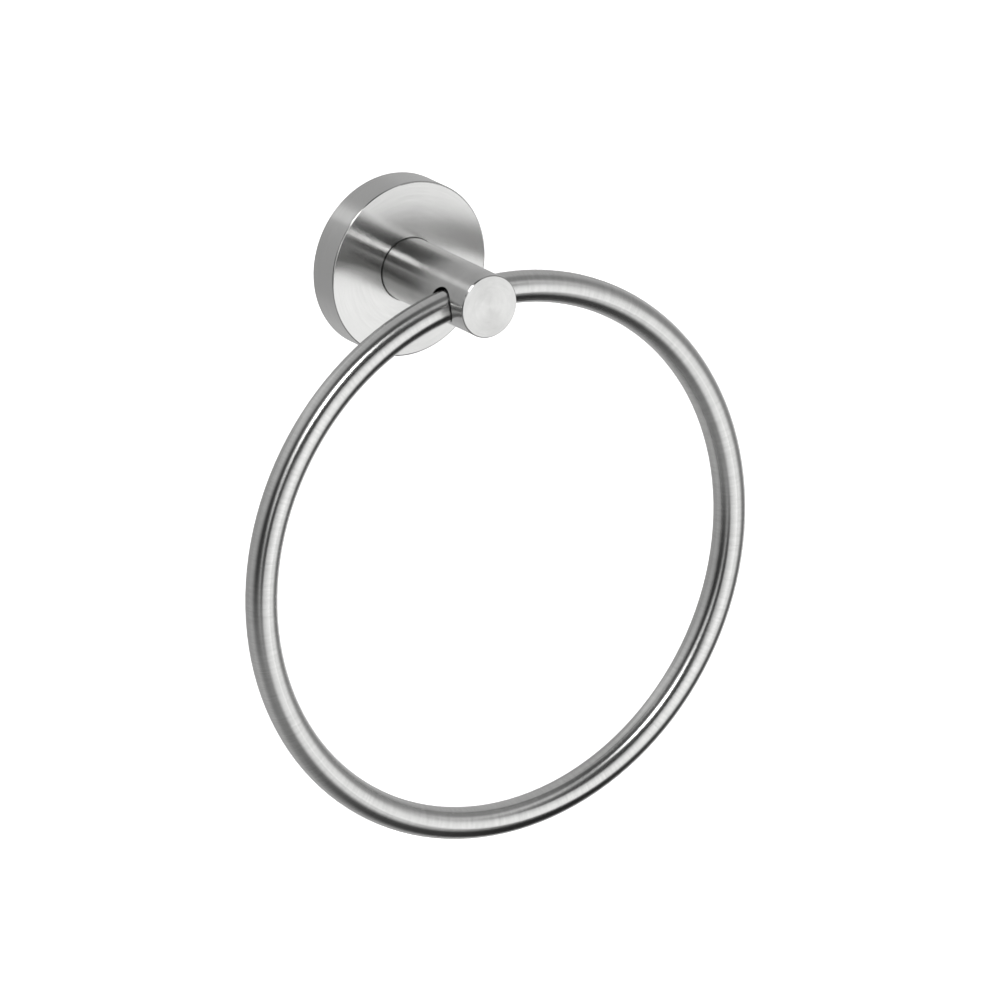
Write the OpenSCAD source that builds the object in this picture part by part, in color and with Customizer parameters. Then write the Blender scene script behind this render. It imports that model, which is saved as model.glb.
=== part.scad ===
// Towel ring on a round wall rose.
// The wall is the plane y = 0, the front is towards -Y, and the ring hangs towards -Z.
// A thin-walled rose covers a carrier that clamps over a wall plate. The carrier holds a round
// post, and a ring of bent tube swings in a hole bored across the post.

/* [Rose] */
// Outside diameter of the rose
rose_d = 56; // [52:0.5:64]
// Distance of the rose's front face from the wall
rose_depth = 11; // [10.5:0.5:14]
// Wall thickness of the rose
rose_wall = 1; // [0.8:0.1:1.3]
// Radius on the rose's front edge
rose_edge = 0.5; // [0.2:0.1:0.7]
// Gap between the post and the edge of the rose's middle hole
post_gap = 0.3; // [0.2:0.05:0.6]

/* [Post] */
// Diameter of the post
post_d = 20; // [17:0.5:24]
// Distance of the post's front end from the wall
post_reach = 57; // [48:1:75]
// Distance of the cross hole's centre from the post's front end
hole_back = 12; // [10:0.5:16]
// Bevel on the edge of the post's front end
post_bevel = 0.3; // [0.1:0.1:0.8]
// Depth that the post's foot is let into the carrier
foot_seat = 0.8; // [0.5:0.1:1]

/* [Ring] */
// Diameter of the circle that the middle of the ring's tube follows
ring_d = 172; // [140:1:220]
// Outside diameter of the ring's tube
tube_d = 10; // [8:0.5:11]
// Wall thickness of the ring's tube
tube_wall = 1.2; // [0.8:0.1:1.8]
// Slit between the two ends of the bent tube, hidden in the post
ring_slit = 0.2; // [0.1:0.05:0.4]
// Length of the dowel that closes the ring
dowel_len = 16; // [10:1:20]
// Clearance of the curved tube in the post's cross hole
swing_gap = 0.05; // [0.03:0.01:0.1]

/* [Carrier] */
// Thickness of the carrier's front web
web_t = 3.7; // [3.6:0.1:4.5]
// Radial thickness of the carrier's skirt
skirt_wall = 4.5; // [3.5:0.1:5.5]
// Distance of the skirt's back edge from the wall
skirt_lift = 0.8; // [0.4:0.1:1.2]

/* [Wall plate] */
// How far the plate's rim is undercut
rim_undercut = 2; // [1:0.1:2.5]
// Height of the straight land at the front of the plate's rim
rim_land = 1.4; // [1:0.1:2]
// Distance between the two wall screw holes
hole_pitch = 26; // [24:0.5:27]
// Diameter of the wall screw holes
wall_hole_d = 5; // [4:0.5:5.5]
// Diameter of the countersinks of the wall screw holes
wall_sink_d = 9.6; // [8:0.2:10]

/* [Screws] */
// Diameter of the screw that holds the post
screw_d = 6; // [5:0.5:6.5]
// Height of that screw's countersunk head
head_h = 2.6; // [2:0.1:2.8]
// Overall length of that screw
screw_len = 16; // [12:1:20]
// Width across the flats of that screw's hexagon socket
screw_key = 4; // [3:0.5:4.5]
// Diameter of the grub screw under the rose
grub_d = 4; // [3.5:0.5:5]
// Width across the flats of the grub screw's hexagon socket
grub_key = 2; // [1.5:0.1:2.4]

/* [Hidden] */
$fn = 96;

// Clearances
press_gap = 0.1;
plate_gap = 0.3;
thread_gap = 0.05;
seat_gap = 0.05;
tip_gap = 0.1;
dowel_gap = 0.05;
// Length by which a cut runs past the face that it opens
overrun = 1;
// Number of sides of a hexagon socket
hex_sides = 6;

// Rose
rose_r = rose_d / 2;
rose_bore_r = rose_r - rose_wall;
rose_seat = rose_depth - rose_wall;
grub_window_gap = 0.5;

// Post and its screw
post_r = post_d / 2;
foot_y = rose_seat - foot_seat;
screw_r = screw_d / 2;
screw_base = rose_seat - web_t;
screw_tip_bevel = 0.6;
tap_spare = 2;
screw_socket_share = 0.75;

// Ring: the cross hole is wide enough for the tube's bend across the whole post
ring_r = ring_d / 2;
tube_r = tube_d / 2;
ring_out = post_reach - hole_back;
bend_reach = ring_r - sqrt(pow(ring_r - tube_r, 2) - pow(post_r, 2));
cross_r = bend_reach + swing_gap;
slit_turn = ring_slit / ring_r * 180 / PI;
dowel_turn = dowel_len / ring_r * 180 / PI;
dowel_r = tube_r - tube_wall - dowel_gap;

// Carrier and wall plate
carrier_r = rose_bore_r - press_gap;
carrier_bore_r = carrier_r - skirt_wall;
plate_r = carrier_bore_r - plate_gap;
plate_t = rose_seat - web_t - plate_gap;
plate_back_r = plate_r - rim_undercut;
wall_hole_r = wall_hole_d / 2;
wall_sink_r = wall_sink_d / 2;

// Grub screw: its point bears on the undercut rim and pulls the carrier to the wall
grub_r = grub_d / 2;
grub_edge = 0.8;
grub_y = skirt_lift + grub_edge + grub_r;
grub_end_r = rose_r - rose_wall / 2;
grub_flat_r = grub_r / 5;
grub_point = grub_r - grub_flat_r;
grub_tip_r = rim_r(grub_y + grub_flat_r) + tip_gap;
grub_socket = (grub_end_r - grub_tip_r - grub_point) / 2;

// Radius of the wall plate's rim at a given distance from the wall
function rim_r(y) = plate_r - rim_undercut * max(0, 1 - y / (plate_t - rim_land));

// Turns a shape that is built up from z = 0 so that it stands out from the wall
module from_wall() {
    rotate([90, 0, 0]) children();
}

// Puts a shape that is built up along +Z on the underside, reaching down from the axis
module downwards() {
    translate([0, -grub_y, 0]) rotate([180, 0, 0]) children();
}

// Turns an arc about the ring's centre so that its middle is at the top
module ring_arc(turn, start) {
    from_wall()
        translate([0, -ring_r, ring_out])
        rotate([0, 0, start])
        rotate_extrude(angle = turn, $fn = 192)
        translate([ring_r, 0])
        children();
}

// Hexagon prism for a socket of the given width across its flats
module hexagon(key, depth) {
    cylinder(h = depth, r = key / 2 / cos(180 / hex_sides), $fn = hex_sides);
}

// Outline of the rose's outside, from its axis out, with a rounded front edge
module rose_outline() {
    square([rose_r - rose_edge, rose_depth]);
    square([rose_r, rose_depth - rose_edge]);
    translate([rose_r - rose_edge, rose_depth - rose_edge]) circle(r = rose_edge);
}

// Thin turned cover: a flat face with the post's hole, and a skirt that reaches the wall
module rose() {
    color("silver")
    difference() {
        from_wall() rotate_extrude() rose_outline();
        from_wall() translate([0, 0, -overrun])
            cylinder(h = rose_seat + overrun, r = rose_bore_r);
        from_wall() cylinder(h = rose_depth + overrun, r = post_r + post_gap);
        downwards() cylinder(h = rose_r + overrun, r = grub_r + grub_window_gap);
    }
}

// Cup inside the rose: the web holds the post, the skirt reaches over the wall plate
module carrier() {
    color("darkgray")
    difference() {
        from_wall() translate([0, 0, skirt_lift])
            cylinder(h = rose_seat - skirt_lift, r = carrier_r);
        from_wall() cylinder(h = screw_base, r = carrier_bore_r);
        from_wall() translate([0, 0, foot_y])
            cylinder(h = foot_seat + overrun, r = post_r + seat_gap);
        from_wall() cylinder(h = rose_depth, r = screw_r + thread_gap);
        from_wall() translate([0, 0, screw_base])
            cylinder(h = head_h, r1 = screw_r + head_h + seat_gap, r2 = screw_r + seat_gap);
        downwards() cylinder(h = rose_r, r = grub_r + thread_gap);
    }
}

// Disc that is screwed to the wall, with an undercut rim and two countersunk holes
module wall_plate() {
    color("gray")
    difference() {
        from_wall() union() {
            cylinder(h = plate_t - rim_land, r1 = plate_back_r, r2 = plate_r);
            translate([0, 0, plate_t - rim_land]) cylinder(h = rim_land, r = plate_r);
        }
        for (side = [-1, 1]) {
            from_wall() translate([side * hole_pitch / 2, 0, 0]) wall_hole();
        }
    }
}

// Cut of one wall screw hole, with its countersink at the front
module wall_hole() {
    sink_h = wall_sink_r - wall_hole_r;
    translate([0, 0, -overrun]) cylinder(h = plate_t + 2 * overrun, r = wall_hole_r);
    translate([0, 0, plate_t - sink_h]) cylinder(h = sink_h, r1 = wall_hole_r, r2 = wall_sink_r);
}

// Solid round bar with a bevelled end, a cross hole for the ring and a tapped foot
module post() {
    tap_depth = screw_base + screw_len - foot_y + tap_spare;
    color("silver")
    difference() {
        from_wall() union() {
            translate([0, 0, foot_y]) cylinder(h = post_reach - post_bevel - foot_y, r = post_r);
            translate([0, 0, post_reach - post_bevel])
                cylinder(h = post_bevel, r1 = post_r, r2 = post_r - post_bevel);
        }
        translate([-post_r - overrun, -ring_out, 0]) rotate([0, 90, 0])
            cylinder(h = post_d + 2 * overrun, r = cross_r);
        from_wall() translate([0, 0, foot_y - overrun])
            cylinder(h = tap_depth + overrun, r = screw_r + thread_gap);
    }
}

// Countersunk screw with a hexagon socket, driven from behind into the post's foot
module post_screw() {
    shank = screw_len - head_h - screw_tip_bevel;
    color("dimgray")
    from_wall() translate([0, 0, screw_base]) difference() {
        union() {
            cylinder(h = head_h, r1 = screw_r + head_h, r2 = screw_r);
            translate([0, 0, head_h]) cylinder(h = shank, r = screw_r);
            translate([0, 0, head_h + shank])
                cylinder(h = screw_tip_bevel, r1 = screw_r, r2 = screw_r - screw_tip_bevel);
        }
        translate([0, 0, -overrun]) hexagon(screw_key, head_h * screw_socket_share + overrun);
    }
}

// Grub screw with a cone point and a hexagon socket, reached from under the rose
module grub_screw() {
    color("dimgray")
    downwards() difference() {
        union() {
            translate([0, 0, grub_tip_r]) cylinder(h = grub_point, r1 = grub_flat_r, r2 = grub_r);
            translate([0, 0, grub_tip_r + grub_point])
                cylinder(h = grub_end_r - grub_tip_r - grub_point, r = grub_r);
        }
        translate([0, 0, grub_end_r - grub_socket]) hexagon(grub_key, grub_socket + overrun);
    }
}

// Tube bent to a circle, whose two ends meet inside the post
module ring() {
    color("silver")
    ring_arc(360 - slit_turn, 90 + slit_turn / 2) difference() {
        circle(r = tube_r, $fn = 64);
        circle(r = tube_r - tube_wall, $fn = 64);
    }
}

// Short curved dowel pressed into both ends of the tube, which closes the ring
module ring_dowel() {
    color("gray")
    ring_arc(dowel_turn, 90 - dowel_turn / 2) circle(r = dowel_r, $fn = 48);
}

wall_plate();
carrier();
rose();
post();
post_screw();
grub_screw();
ring();
ring_dowel();
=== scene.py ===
"""Towel ring in brushed stainless steel on a round rose, lit by panels on a white ground."""
import math

import bpy
from mathutils import Matrix, Vector


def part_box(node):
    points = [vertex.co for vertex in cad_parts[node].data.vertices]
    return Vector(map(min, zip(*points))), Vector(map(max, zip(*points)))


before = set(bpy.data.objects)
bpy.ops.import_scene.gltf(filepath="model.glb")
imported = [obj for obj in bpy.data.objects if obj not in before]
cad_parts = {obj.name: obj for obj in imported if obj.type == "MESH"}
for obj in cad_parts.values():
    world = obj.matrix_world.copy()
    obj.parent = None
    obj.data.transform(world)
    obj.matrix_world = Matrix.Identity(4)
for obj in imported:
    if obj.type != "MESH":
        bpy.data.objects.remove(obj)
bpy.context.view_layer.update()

# Sizes that the finishes follow, in metres. The ring's are read from the frame.
MM = 0.001
MICRON = 0.001 * MM
ring_low, ring_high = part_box("ring")
RING_CENTRE = (ring_low + ring_high) / 2
TUBE_RADIUS = (ring_high.y - ring_low.y) / 2
RING_RADIUS = (ring_high.x - ring_low.x) / 2 - TUBE_RADIUS

# Length that a rolling line of the sheet lasts, and the size of the steel's soft clouds
ROLLING_LINE = 12 * MM
MOTTLE_SIZE = 5 * MM
# Each finish has fine lines and, over them, lines this many times as wide, with this share
COARSE_LINE = 4
COARSE_SHARE = 0.4
# How ragged the lines and the clouds are, as the noise's detail
LINE_DETAIL = 1
CLOUD_DETAIL = 2
# Part of the noise's range that is spread over a finish's darkest to lightest tone
NOISE_RANGE = (0.3, 0.7)
# Turns of the smear: away from the post's axis, and round it
OUTWARDS = 0.25
ROUND = 0.0

# Camera: where it looks from, round and above the wall fitting, how far off it stands and how
# far it sees in metres, what lies at the picture's middle, and the picture's scale
CAMERA_AZIMUTH = -30.70
CAMERA_ELEVATION = 21.60
CAMERA_ROLL = -6.15
CAMERA_DISTANCE = 10.0
CAMERA_SIGHT = 40.0
CAMERA_AIM = Vector((6.5, -39.8, -71.1)) * MM
PICTURE_SIDE = 1000
PIXELS_PER_METRE = 3236
SENSOR = 36

# Floor, well below the ring, so that the shadow stays soft. The steel doesn't mirror it: dark
# panels stand in its place, because the photographed steel shows dark below.
FLOOR_HEIGHT = -0.6
FLOOR_SIDE = 30
FLOOR_COLOUR = "#E6E6E6"
# Brightness that the camera alone sees added to the lit floor, which brings it to white
FLOOR_GLOW = 0.82

# Surroundings, as brightness seen from the part: a white ground with panels in front of it.
# The camera sees the white ground alone, and the steel mirrors ground and panels.
GROUND_LEVEL = 1.0
# How far a panel's mask reaches along its own line of sight, so that it stays on its side
PANEL_REACH = 0.8
# Oval panels: azimuth and elevation of the middle, turn, width and height in degrees, then the
# soft edge as a share of the size, and brightness. Azimuth 0 is straight in front of the rose
# and 90 to the right. A later panel stands in front of an earlier one.
PANELS = {
    "left_wall": (-143, -8, -52, 83, 178, 0.56, 0.50),
    "far_right": (157, 7, -4, 60, 176, 0.04, 0.58),
    "floor_left": (-40, -69, -2, 103, 178, 0.44, 0.32),
    "right_wall": (69, -20, 39, 138, 61, 0.16, 0.38),
    "back_wall": (-169, 6, 57, 58, 90, 0.13, 0.44),
    "tent_top": (78, 49, -47, 148, 74, 0.60, 0.34),
    "soft_box": (8, -20, -16, 71, 46, 0.54, 0.87),
    "soft_box_high": (18, 25, 37, 61, 127, 0.05, 0.80),
    "soft_box_side": (26, -21, -76, 53, 71, 0.51, 1.26),
    "left_gap": (-62, 20, -32, 62, 138, 0.59, 0.04),
    "left_gap_high": (-46, 64, 10, 68, 92, 0.42, 0.07),
    "strip_light": (-38, 30, -3, 30, 53, 0.58, 1.25),
    "strip_bend": (-31, 48, -16, 13, 20, 0.18, 10.5),
    "strip_top": (-12, 41, 20, 9, 22, 0.06, 2.53),
    "right_gap": (10, 35, -34, 51, 26, 0.04, 0.03),
    "camera_gap": (-19, 22, -22, 57, 21, 0.07, 0.04),
    "gap_tail": (-35, 2, 9, 21, 37, 0.39, 0.02),
    "slot_light": (10, -3, 32, 10, 61, 0.04, 1.63),
    "floor_dark": (63, -65, 51, 89, 53, 0.45, 0.06),
    "floor_dark_right": (67, -58, -28, 69, 20, 0.04, 0.02),
    "back_light": (-151, 43, -45, 12, 86, 0.48, 0.84),
    "back_right": (146, 56, -45, 44, 178, 0.49, 0.55),
}


def linear(hex_colour):
    """sRGB hex string to the linear colour that shaders take."""
    parts = [int(hex_colour[i:i + 2], 16) / 255 for i in (1, 3, 5)]
    return [p / 12.92 if p <= 0.04045 else ((p + 0.055) / 1.055) ** 2.4 for p in parts] + [1]


def add(tree, kind, links=None, **settings):
    """Adds a node. links maps an input's name or number to a value or to another node's output."""
    made = tree.nodes.new(kind)
    for key, value in settings.items():
        setattr(made, key, value)
    for key, value in (links or {}).items():
        socket = made.inputs[key]
        if isinstance(value, bpy.types.NodeSocket):
            tree.links.new(value, socket)
        else:
            socket.default_value = value
    return made


def direction(azimuth, elevation):
    """Unit vector towards an azimuth and elevation in degrees, seen from the part."""
    round_z, up = math.radians(azimuth), math.radians(elevation)
    ahead = -math.cos(round_z) * math.cos(up)
    return Vector((math.sin(round_z) * math.cos(up), ahead, math.sin(up)))


def panel_mask(tree, ray, azimuth, elevation, turn, width, height, edge):
    """1 where the ray meets an oval panel and 0 outside it, with soft edges."""
    forward = direction(azimuth, elevation)
    level_right = forward.cross(Vector((0, 0, 1))).normalized()
    right = Matrix.Rotation(math.radians(turn), 3, forward) @ level_right
    axes = Matrix((right, forward.cross(right), forward)).transposed()
    spread = [math.sin(math.radians(angle / 2)) for angle in (width, height)] + [PANEL_REACH]
    stand = {0: ray, "Location": forward, "Rotation": axes.to_euler(), "Scale": spread}
    seen = add(tree, "ShaderNodeMapping", stand, vector_type="TEXTURE").outputs[0]
    away = add(tree, "ShaderNodeVectorMath", {0: seen}, operation="LENGTH").outputs["Value"]
    limits = {"Value": away, "From Min": 1 - edge, "From Max": 1 + edge, "To Min": 1, "To Max": 0}
    return add(tree, "ShaderNodeMapRange", limits, interpolation_type="SMOOTHSTEP").outputs[0]


def build_studio():
    """World: a white ground, with panels in front of it that the camera alone doesn't see."""
    world = bpy.data.worlds.new("studio")
    world.use_nodes = True
    tree = world.node_tree
    tree.nodes.clear()
    ray = add(tree, "ShaderNodeTexCoord").outputs["Generated"]
    level = GROUND_LEVEL
    for *place, brightness in PANELS.values():
        mask = panel_mask(tree, ray, *place)
        mixed = add(tree, "ShaderNodeMix", {"Factor": mask, "A": level, "B": brightness})
        level = mixed.outputs["Result"]
    panels = add(tree, "ShaderNodeBackground", {"Color": level})
    ground = add(tree, "ShaderNodeBackground", {"Color": [GROUND_LEVEL] * 3 + [1]})
    seen = add(tree, "ShaderNodeLightPath").outputs["Is Camera Ray"]
    both = add(tree, "ShaderNodeMixShader", {0: seen, 1: panels.outputs[0], 2: ground.outputs[0]})
    add(tree, "ShaderNodeOutputWorld", {"Surface": both.outputs[0]})
    bpy.context.scene.world = world


def build_floor():
    """Plain white floor that keeps the part's shadow."""
    half = FLOOR_SIDE / 2
    mesh = bpy.data.meshes.new("floor")
    corners = [(x * half, y * half, FLOOR_HEIGHT) for x, y in ((-1, -1), (1, -1), (1, 1), (-1, 1))]
    mesh.from_pydata(corners, [], [(0, 1, 2, 3)])
    floor = bpy.data.objects.new("floor", mesh)
    bpy.context.collection.objects.link(floor)
    floor.visible_glossy = False
    paint = bpy.data.materials.new("white_floor")
    paint.use_nodes = True
    tree = paint.node_tree
    tree.nodes.clear()
    matt = add(tree, "ShaderNodeBsdfDiffuse", {"Color": linear(FLOOR_COLOUR)})
    glow = add(tree, "ShaderNodeEmission", {"Color": linear("#FFFFFF"), "Strength": FLOOR_GLOW})
    both = add(tree, "ShaderNodeAddShader", {0: matt.outputs[0], 1: glow.outputs[0]})
    seen = add(tree, "ShaderNodeLightPath").outputs["Is Camera Ray"]
    shown = add(tree, "ShaderNodeMixShader", {0: seen, 1: matt.outputs[0], 2: both.outputs[0]})
    add(tree, "ShaderNodeOutputMaterial", {"Surface": shown.outputs[0]})
    mesh.materials.append(paint)


def build_camera():
    """Long lens from the upper left, turned a little, as in the photograph."""
    data = bpy.data.cameras.new("camera")
    data.sensor_width = SENSOR
    data.lens = SENSOR * PIXELS_PER_METRE * CAMERA_DISTANCE / PICTURE_SIDE
    data.clip_end = CAMERA_SIGHT
    camera = bpy.data.objects.new("camera", data)
    bpy.context.collection.objects.link(camera)
    towards = direction(CAMERA_AZIMUTH, CAMERA_ELEVATION)
    turn = Matrix.Rotation(math.radians(CAMERA_ROLL), 3, "Z")
    camera.matrix_world = (
        Matrix.Translation(CAMERA_AIM + towards * CAMERA_DISTANCE)
        @ ((-towards).to_track_quat("-Z", "Y").to_matrix() @ turn).to_4x4()
    )
    bpy.context.scene.camera = camera


def round_the_axis(tree):
    """Place across the lines of a turned piece, then the way out from the post's axis."""
    place = add(tree, "ShaderNodeTexCoord").outputs["Object"]
    x, y, z = add(tree, "ShaderNodeSeparateXYZ", {0: place}).outputs
    flat = add(tree, "ShaderNodeCombineXYZ", {0: x, 1: z}).outputs[0]
    radius = add(tree, "ShaderNodeVectorMath", {0: flat}, operation="LENGTH").outputs["Value"]
    way = add(tree, "ShaderNodeVectorMath", {0: flat}, operation="NORMALIZE").outputs[0]
    way_x, way_z, _ = add(tree, "ShaderNodeSeparateXYZ", {0: way}).outputs
    across = add(tree, "ShaderNodeMath", {0: radius, 1: y}, operation="SUBTRACT").outputs[0]
    return add(tree, "ShaderNodeCombineXYZ", {0: across, 1: way_x, 2: way_z}).outputs[0]


def along_the_ring(tree):
    """Place along the ring's centre line, then the way round its tube."""
    place = add(tree, "ShaderNodeTexCoord").outputs["Object"]
    x, y, z = add(tree, "ShaderNodeSeparateXYZ", {0: place}).outputs
    down = add(tree, "ShaderNodeMath", {0: RING_CENTRE.z, 1: z}, operation="SUBTRACT").outputs[0]
    flat = add(tree, "ShaderNodeCombineXYZ", {0: x, 1: down}).outputs[0]
    radius = add(tree, "ShaderNodeVectorMath", {0: flat}, operation="LENGTH").outputs["Value"]
    # Counted from the ring's foot, so that the count's break lies inside the post
    angle = add(tree, "ShaderNodeMath", {0: x, 1: down}, operation="ARCTAN2").outputs[0]
    here = add(tree, "ShaderNodeCombineXYZ", {0: angle, 1: radius, 2: y}).outputs[0]
    foot = {0: here, 1: (0, RING_RADIUS, RING_CENTRE.y)}
    away = add(tree, "ShaderNodeVectorMath", foot, operation="SUBTRACT").outputs[0]
    scaled = {0: away, 1: (RING_RADIUS, 1 / TUBE_RADIUS, 1 / TUBE_RADIUS)}
    return add(tree, "ShaderNodeVectorMath", scaled, operation="MULTIPLY").outputs[0]


def up_the_sheet(tree):
    """Place up the wall plate, then the place along it in steps that its rolling lines last."""
    place = add(tree, "ShaderNodeTexCoord").outputs["Object"]
    x, y, z = add(tree, "ShaderNodeSeparateXYZ", {0: place}).outputs
    turned = add(tree, "ShaderNodeCombineXYZ", {0: z, 1: x, 2: y}).outputs[0]
    scaled = {0: turned, 1: (1, 1 / ROLLING_LINE, 1 / ROLLING_LINE)}
    return add(tree, "ShaderNodeVectorMath", scaled, operation="MULTIPLY").outputs[0]


def steel(name, lie, greys, roughness, stretch, turn, line, height, fade, mottle):
    """Stainless steel with lines from brushing, turning or rolling."""
    material = bpy.data.materials.new(name)
    material.use_nodes = True
    tree = material.node_tree
    tree.nodes.clear()
    place = lie(tree)
    fine_and_coarse = []
    for width in (line, COARSE_LINE * line):
        scaled = {0: place, 1: (1 / width, fade, fade)}
        spot = add(tree, "ShaderNodeVectorMath", scaled, operation="MULTIPLY").outputs[0]
        noise = {"Vector": spot, "Scale": 1, "Detail": LINE_DETAIL}
        fine_and_coarse.append(add(tree, "ShaderNodeTexNoise", noise).outputs[0])
    fine, coarse = fine_and_coarse
    lines = add(tree, "ShaderNodeMix", {"Factor": COARSE_SHARE, "A": fine, "B": coarse})
    lines = lines.outputs["Result"]
    spot = add(tree, "ShaderNodeTexCoord").outputs["Object"]
    noise = {"Vector": spot, "Scale": 1 / MOTTLE_SIZE, "Detail": CLOUD_DETAIL}
    clouds = add(tree, "ShaderNodeTexNoise", noise).outputs[0]
    mixed = add(tree, "ShaderNodeMix", {"Factor": mottle, "A": lines, "B": clouds})
    mixed = mixed.outputs["Result"]
    low, high = NOISE_RANGE
    tone = add(tree, "ShaderNodeMapRange", {"Value": mixed, "From Min": low, "From Max": high})
    tone = tone.outputs[0]
    dark, light = (linear(grey) for grey in greys)
    shade = add(tree, "ShaderNodeMix", {"Factor": tone, "A": dark, "B": light}, data_type="RGBA")
    least, most = roughness
    rough = add(tree, "ShaderNodeMapRange", {"Value": tone, "To Min": most, "To Max": least})
    bump = add(tree, "ShaderNodeBump", {"Height": lines, "Strength": 1, "Distance": height})
    tangent = add(tree, "ShaderNodeTangent", direction_type="RADIAL", axis="Y")
    metal = add(tree, "ShaderNodeBsdfPrincipled", {
        "Base Color": shade.outputs["Result"],
        "Metallic": 1,
        "Roughness": rough.outputs[0],
        "Anisotropic": stretch,
        "Anisotropic Rotation": turn,
        "Normal": bump.outputs[0],
        "Tangent": tangent.outputs[0],
    })
    add(tree, "ShaderNodeOutputMaterial", {"Surface": metal.outputs[0]})
    return material


# Finishes by node. lie gives the way of the lines. greys are the darkest and lightest colour of
# the lines and roughness the lowest and highest. stretch is how far highlights smear across the
# lines, from 0 to 1, and turn the way of the smear. line is the width of a line and height its
# height, fade how soon a line ends along its way, and mottle the share of soft clouds in the
# tone. The real brushing grit leaves lines of a few hundredths of a millimetre, finer than a
# pixel, so the lines are drawn as coarse as the photograph shows them.
FINISHES = {
    # Real: a drawn cap, brushed while it spins. Eye: rings of fine lines and a sharp radial
    # smear, which turns the mirror image of the post into a streak.
    "rose": dict(
        name="circular_brushed_stainless", lie=round_the_axis, greys=("#CBCBCA", "#D3D3D2"),
        roughness=(0.178, 0.188), stretch=0.90, turn=OUTWARDS,
        line=0.3 * MM, height=0.1 * MICRON, fade=2.0, mottle=0.2,
    ),
    # Real: a bar turned and brushed on the lathe, its end faced. Eye: smears that run along
    # the bar, and a pale end with a soft star and slight clouds.
    "post": dict(
        name="turned_satin_stainless", lie=round_the_axis, greys=("#C3C3C2", "#CFCFCE"),
        roughness=(0.178, 0.188), stretch=0.90, turn=OUTWARDS,
        line=0.3 * MM, height=0.1 * MICRON, fade=2.0, mottle=0.5,
    ),
    # Real: a tube brushed crosswise by a belt that travels round it. Eye: short ticks across
    # the tube and bands that run along it.
    "ring": dict(
        name="cross_brushed_stainless_tube", lie=along_the_ring, greys=("#C4C4C3", "#D4D4D3"),
        roughness=(0.203, 0.219), stretch=0.84, turn=ROUND,
        line=0.35 * MM, height=0.8 * MICRON, fade=0.8, mottle=0.2,
    ),
    # Real: a cup machined from bar and left as cut. Eye: plain even turning marks, duller.
    "carrier": dict(
        name="machined_stainless_cup", lie=round_the_axis, greys=("#A8A8A6", "#B8B8B6"),
        roughness=(0.30, 0.36), stretch=0.6, turn=OUTWARDS,
        line=0.4 * MM, height=0.8 * MICRON, fade=0.5, mottle=0.1,
    ),
    # Real: cold-rolled sheet, cut and drilled. Eye: a matt grey with straight rolling lines.
    "wall_plate": dict(
        name="cold_rolled_stainless_sheet", lie=up_the_sheet, greys=("#A4A4A3", "#B2B2B0"),
        roughness=(0.36, 0.44), stretch=0.0, turn=ROUND,
        line=0.35 * MM, height=0.6 * MICRON, fade=1.0, mottle=0.4,
    ),
    # Real: a screw with a machined cone and driver recess. Eye: bright, with fine turning marks.
    "post_screw": dict(
        name="bright_turned_screw_stainless", lie=round_the_axis, greys=("#B4B4B2", "#C6C6C4"),
        roughness=(0.22, 0.28), stretch=0.4, turn=OUTWARDS,
        line=0.25 * MM, height=0.4 * MICRON, fade=0.5, mottle=0.1,
    ),
    # Real: a small screw rolled and left to darken in the oil. Eye: a darker grey than its cup.
    "grub_screw": dict(
        name="dull_rolled_screw_stainless", lie=round_the_axis, greys=("#8C8C8B", "#A0A09E"),
        roughness=(0.32, 0.40), stretch=0.0, turn=ROUND,
        line=0.25 * MM, height=0.4 * MICRON, fade=0.5, mottle=0.3,
    ),
    # Real: drawn wire, cut and bent. Eye: a plain satin with faint marks along the wire.
    "ring_dowel": dict(
        name="drawn_wire_stainless", lie=along_the_ring, greys=("#A8A8A7", "#BABAB8"),
        roughness=(0.28, 0.34), stretch=0.0, turn=ROUND,
        line=1.5 * MM, height=0.4 * MICRON, fade=3.0, mottle=0.3,
    ),
}

bpy.context.scene.view_settings.view_transform = "Standard"
build_camera()
build_studio()
build_floor()
for name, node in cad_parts.items():
    node.data.materials.clear()
    node.data.materials.append(steel(**FINISHES[name]))
